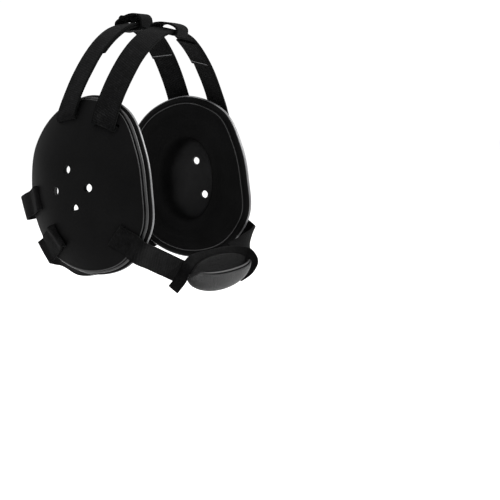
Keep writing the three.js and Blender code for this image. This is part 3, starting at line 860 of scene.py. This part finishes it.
def shareAt(rows, x):
    low, high = 0.2, 0.8
    line = [p for p, _ in rows]
    while high - low > 1e-5:
        middle = (low + high) / 2
        if curveAt(line, middle).x < x:
            low = middle
        else:
            high = middle
    return low


laps = {
    "crownLapFront": {"arch": "Front", "from": 34.0, "to": 66.0, "node": "crown_lap_front"},
    "crownLapRear": {"arch": "Rear", "from": -61.0, "to": 61.0, "node": "crown_lap_rear"},
}
lapStack = {"thick": 1.4, "strapHalf": 1.0, "gaps": 1.6, "lapHalf": 0.75, "face": 0.7}
lapOffset = lapStack["strapHalf"] + cup["clearance"] * lapStack["gaps"] + lapStack["lapHalf"]
for name, lap in laps.items():
    rows = archLines[lap["arch"]]
    start, end = (shareAt(rows, lap[key]) for key in ("from", "to"))
    makeStrap(name, rows, lap["node"], thick=lapStack["thick"], steps=60,
              start=start, end=end, offset=lapOffset, wobble=0.0)

# sewn line across each lap near its end
seam = {"width": 18.6, "radius": 0.42}


def fillHoles(bm):
    rims = [e for e in bm.edges if e.is_boundary]
    bmesh.ops.holes_fill(bm, edges=rims, sides=0)


def makeSeam(arch, x):
    _, at = ribbonPlace(archLines[arch], strap["width"])
    here, along, across, normal = at(shareAt(archLines[arch], x))

    def place(u, v):
        turn = 2 * math.pi * v
        wide = across * ((u - 0.5) * seam["width"])
        ahead = along * (seam["radius"] * math.cos(turn))
        out = lapOffset + lapStack["face"] + seam["radius"] * math.sin(turn)
        return here + wide + ahead + normal * out

    bm = wrapGrid(12, 10, place)
    fillHoles(bm)
    makePiece("lapSeam" + arch, bm, finishes["thread"], 60.0)


makeSeam("Front", 63.0)
makeSeam("Rear", 58.5)
print("straps made")

# link over the crown: a band folded into a loop round each crown strap, the loops joined by a neck
link = {
    "width": 20.0, "thick": 1.7, "slack": 1.6, "neck": (-5.6, 6.2), "neckUp": (-0.6, 3.4), "neckBow": 0.5,
    "tail": 20.0, "tailUp": 4.35, "tailFold": 2.2, "tailFolds": 5, "tailWidth": 0.8,
    "strapHalf": 1.0, "room": 0.9, "roundness": 0.7, "corner": 1.2, "wobble": 0.25, "wobbles": 19,
    "loopSteps": 72, "tailSteps": 60, "neckSteps": 12,
}
linkLoops = [
    {"back": -17.0, "up": 1.2, "tilt": 11.0, "under": 0.0, "rise": 4.6, "slope": 0.1},
    {"back": 17.5, "up": 6.0, "tilt": -4.0, "under": 2.1, "rise": 7.5, "slope": 0.3},
]


def loopPath(row):
    half = strap["width"] / 2 + link["slack"] + link["thick"] / 2
    below = link["strapHalf"] + cup["clearance"] + link["room"] + row["under"] + link["thick"] / 2
    top = row["rise"] + link["thick"] / 2
    points = []
    for k in range(17):
        turn = math.pi * k / 16
        y = half * math.cos(turn)
        height = top * math.sin(turn) ** link["roundness"]
        points.append((y, height * (1 - row["slope"] * (y / half + 0.4))))
    points += [(-half, -below * 0.75), (-half + link["corner"], -below), (-half * 0.4, -below)]
    points += [(half * 0.4, -below), (half - link["corner"], -below), (half, -below * 0.75)]
    turn = math.radians(row["tilt"])
    return [Vector((0, row["back"] + y * math.cos(turn) - z * math.sin(turn),
                    row["up"] + y * math.sin(turn) + z * math.cos(turn))) for y, z in points]


def joinInto(bm, other):
    mesh = bpy.data.meshes.new("joined")
    other.to_mesh(mesh)
    other.free()
    bm.from_mesh(mesh)
    bpy.data.meshes.remove(mesh)


def linkNeck(u, v):
    y = link["neck"][0] + (link["neck"][1] - link["neck"][0]) * u
    up = link["neckUp"][0] + (link["neckUp"][1] - link["neckUp"][0]) * u
    return Vector(((v - 0.5) * link["width"], y, up + link["neckBow"] * math.sin(u * math.pi)))


# the band's end, tucked in folds into the rear loop
def linkTail(u, v):
    rear = linkLoops[1]
    y = rear["back"] + link["tail"] * (u - 0.5)
    z = rear["up"] + link["tailUp"] + link["tailFold"] * math.sin(u * math.pi * link["tailFolds"])
    return Vector(((v - 0.5) * link["width"] * link["tailWidth"], y, z))


def makeLink():
    bm = bmesh.new()
    steps = link["loopSteps"]
    wide = link["width"] * mm
    lengths = 0.0
    for row in linkLoops:
        even, length = evenPoints(loopPath(row), steps, True)
        lengths += length

        def place(u, v, even=even):
            ripple = link["wobble"] * math.sin(u * link["wobbles"]) * (v - 0.5)
            return even[round(u * steps) % steps] + Vector(((v - 0.5) * link["width"], 0, ripple))

        joinInto(bm, wrapGrid(steps, 10, place, (length * mm, wide)))
    tail = [linkTail(k / link["tailSteps"], 0.5) for k in range(link["tailSteps"] + 1)]
    lengths += sum((b - a).length for a, b in zip(tail, tail[1:]))
    neckLength = link["neck"][1] - link["neck"][0]
    lengths += neckLength
    joinInto(bm, wrapGrid(link["tailSteps"], 10, linkTail, (link["tail"] * mm, wide)))
    joinInto(bm, wrapGrid(link["neckSteps"], 10, linkNeck, (neckLength * mm, wide)))
    piece = makePiece("crownLink", bm, finishes["webbing"], 70.0)
    thicken(piece, link["thick"])
    softenEdges(piece, strap["edgeRound"], 3)
    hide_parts("crown_link")
    lengths * mm


makeLink()
print("crown link made")

# chin cup and its straps
chin = {
    "drop": 198.0, "forward": 69.0, "width": 80.0, "depth": 13.5, "reach": 10.0, "tilt": 12.4, "lift": 1.2,
    "end": 0.05, "skew": 13.0, "roll": 3.4, "yaw": 5.1, "pad": 3.0, "cover": 2.4, "endThin": 0.45,
    "bandWidth": 10.0, "bandThick": 2.0, "span": 108.0, "strapEnd": 45.0,
    "around": 56, "arcSteps": 26, "rimSteps": 6,
}
chinLeaves = {
    "pad": {"start": 2, "finish": 178, "soft": 5.0, "seat": 0.0},
    "cover": {"start": 47, "finish": 176, "soft": 4.0, "seat": 4.5},
}


def chinPlace(side, forward, up):
    return Vector((side, -chin["forward"] - forward - side * math.tan(math.radians(chin["yaw"])),
                   -chin["drop"] + up + side * math.tan(math.radians(chin["roll"]))))


def chinArc(side, angle, thick, seat):
    share = side / (chin["width"] / 2)
    opened = math.sqrt(max(1 - share * share, 0)) * (1 - chin["end"]) + chin["end"]
    past = thick * (chin["endThin"] + (1 - chin["endThin"]) * opened) + seat
    forward = -math.cos(angle) * (chin["reach"] / 2 * opened + past)
    up = chin["lift"] * opened + math.cos(angle) * chin["tilt"] * opened / 2
    wide = side - chin["skew"] * math.sin(angle) * (1 - share) / 2
    return chinPlace(wide, forward, up - math.sin(angle) * (chin["depth"] * opened + past))


# the closed section runs along the inner face, over the front rim, back outside and over the rear rim
def chinSkin(leaf, near, far):
    start, finish, soft = leaf["start"], leaf["finish"], leaf["soft"]
    steps, rimSteps = chin["arcSteps"], chin["rimSteps"]
    middle = (near + far) / 2
    half = (far - near) / 2
    rims = [math.pi * k / rimSteps for k in range(1, rimSteps)]
    section = [(start + (finish - start) * k / steps, near) for k in range(steps + 1)]
    section += [(finish + soft * math.sin(turn), middle - half * math.cos(turn)) for turn in rims]
    section += [(finish + (start - finish) * k / steps, far) for k in range(steps + 1)]
    section += [(start - soft * math.sin(turn), middle + half * math.cos(turn)) for turn in rims]
    section.append(section[0])
    last = len(section) - 1

    def place(u, v):
        angle, thick = section[round(v * last)]
        side = -math.cos(u * math.pi) * chin["width"] / 2
        return chinArc(side, math.radians(angle), thick, cup["clearance"] * leaf["seat"])

    bm = wrapGrid(chin["around"], last, place)
    fillHoles(bm)
    return bm


def makeChinCup():
    skin = chinSkin(chinLeaves["pad"], 0.0, chin["pad"])
    lining = makePiece("chinPad", skin, finishes["chinLining"], 50.0)
    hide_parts("chin_pad")
    skin = chinSkin(chinLeaves["cover"], chin["pad"], chin["pad"] + chin["cover"])
    cover = makePiece("chinCover", skin, finishes["chinPanel"], 50.0)
    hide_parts("chin_cover")


makeChinCup()

# rolled binding along the front rim of the chin cup
binding = {"angle": 184.0, "out": 3.4, "seat": 0.4, "radius": 0.95, "endSize": 0.35, "span": 0.985}


def makeBinding():
    def place(u, v):
        side = -math.cos(u * math.pi) * chin["width"] / 2 * binding["span"]
        turn = 2 * math.pi * v
        middle = chinArc(side, math.radians(binding["angle"]), binding["out"], binding["seat"])
        size = binding["radius"] * (binding["endSize"] + (1 - binding["endSize"]) * math.sin(u * math.pi))
        return middle + Vector((0, size * math.cos(turn), size * math.sin(turn)))

    bm = wrapGrid(60, 14, place)
    fillHoles(bm)
    makePiece("chinBinding", bm, finishes["chinBinding"], 60.0)


makeBinding()

# narrow band round the chin cup: shares of its span and width, then how its width leans and rises
bandRows = [
    (-0.865, -0.23, -0.19, 0.78, 0.62), (-0.83, -0.182, -0.12, 0.78, 0.62),
    (-0.785, -0.137, -0.035, 0.76, 0.65), (-0.71, -0.119, 0.045, 0.65, 0.76),
    (-0.58, -0.122, 0.088, 0.35, 0.94), (-0.4, -0.128, 0.098, 0.1, 1.0), (0.0, -0.12, 0.096, 0.0, 1.0),
    (0.37, -0.108, 0.093, 0.0, 1.0), (0.685, -0.076, 0.075, -0.15, 1.0), (0.87, -0.025, 0.04, -0.6, 0.8),
    (0.935, 0.01, -0.045, -0.98, 0.2), (0.92, -0.025, -0.13, -0.93, -0.36),
    (0.885, -0.088, -0.19, -0.8, -0.6), (0.86, -0.134, -0.22, -0.75, -0.65),
]
bandLine = []
for s, f, u, lean, rise in bandRows:
    place = chinPlace(s * chin["span"] / 2, f * chin["width"], u * chin["width"])
    bandLine.append((place, Vector((0, lean, rise)).normalized()))
makeStrap("chinBand", bandLine, "chin_band", width=chin["bandWidth"], thick=chin["bandThick"],
          steps=120)

# straps from the front lower slots down to the chin cup
chinStrapEnds = {
    "Right": {"hand": -1, "lean": -0.5, "rise": 0.85, "back": 19.0, "low": 1.6, "bow": 0.0, "tuck": 13.0},
    "Left": {"hand": 1, "lean": 0.75, "rise": 0.66, "back": 13.5, "low": -4.5, "bow": 7.0, "tuck": 0.0},
}


def chinStrapLine(row):
    rows, _, _ = slotRows(slots["chin"], 3)
    rows = facing(rows, Vector((0, 0, 1)))
    end = chinPlace(row["hand"] * chin["strapEnd"], -row["back"], -row["low"])
    end.x = row["tuck"] - chin["strapEnd"]
    lastPlace, lastAcross = rows[-1]
    across = Vector((0, row["lean"], row["rise"])).normalized()
    for share in (0.35, 0.7, 1.0):
        at = lastPlace.lerp(end, share)
        at.y -= row["bow"] * 4 * share * (1 - share)
        rows.append((at, lastAcross.lerp(across, share).normalized()))
    return rows


chinLines = {side: chinStrapLine(row) for side, row in chinStrapEnds.items()}
makeStrap("chinStrapRight", chinLines["Right"], "chin_strap_right", steps=110)
makeStrap("chinStrapLeft", mirrored(chinLines["Left"]), "chin_strap_left", steps=110)
print("chin cup and straps made")
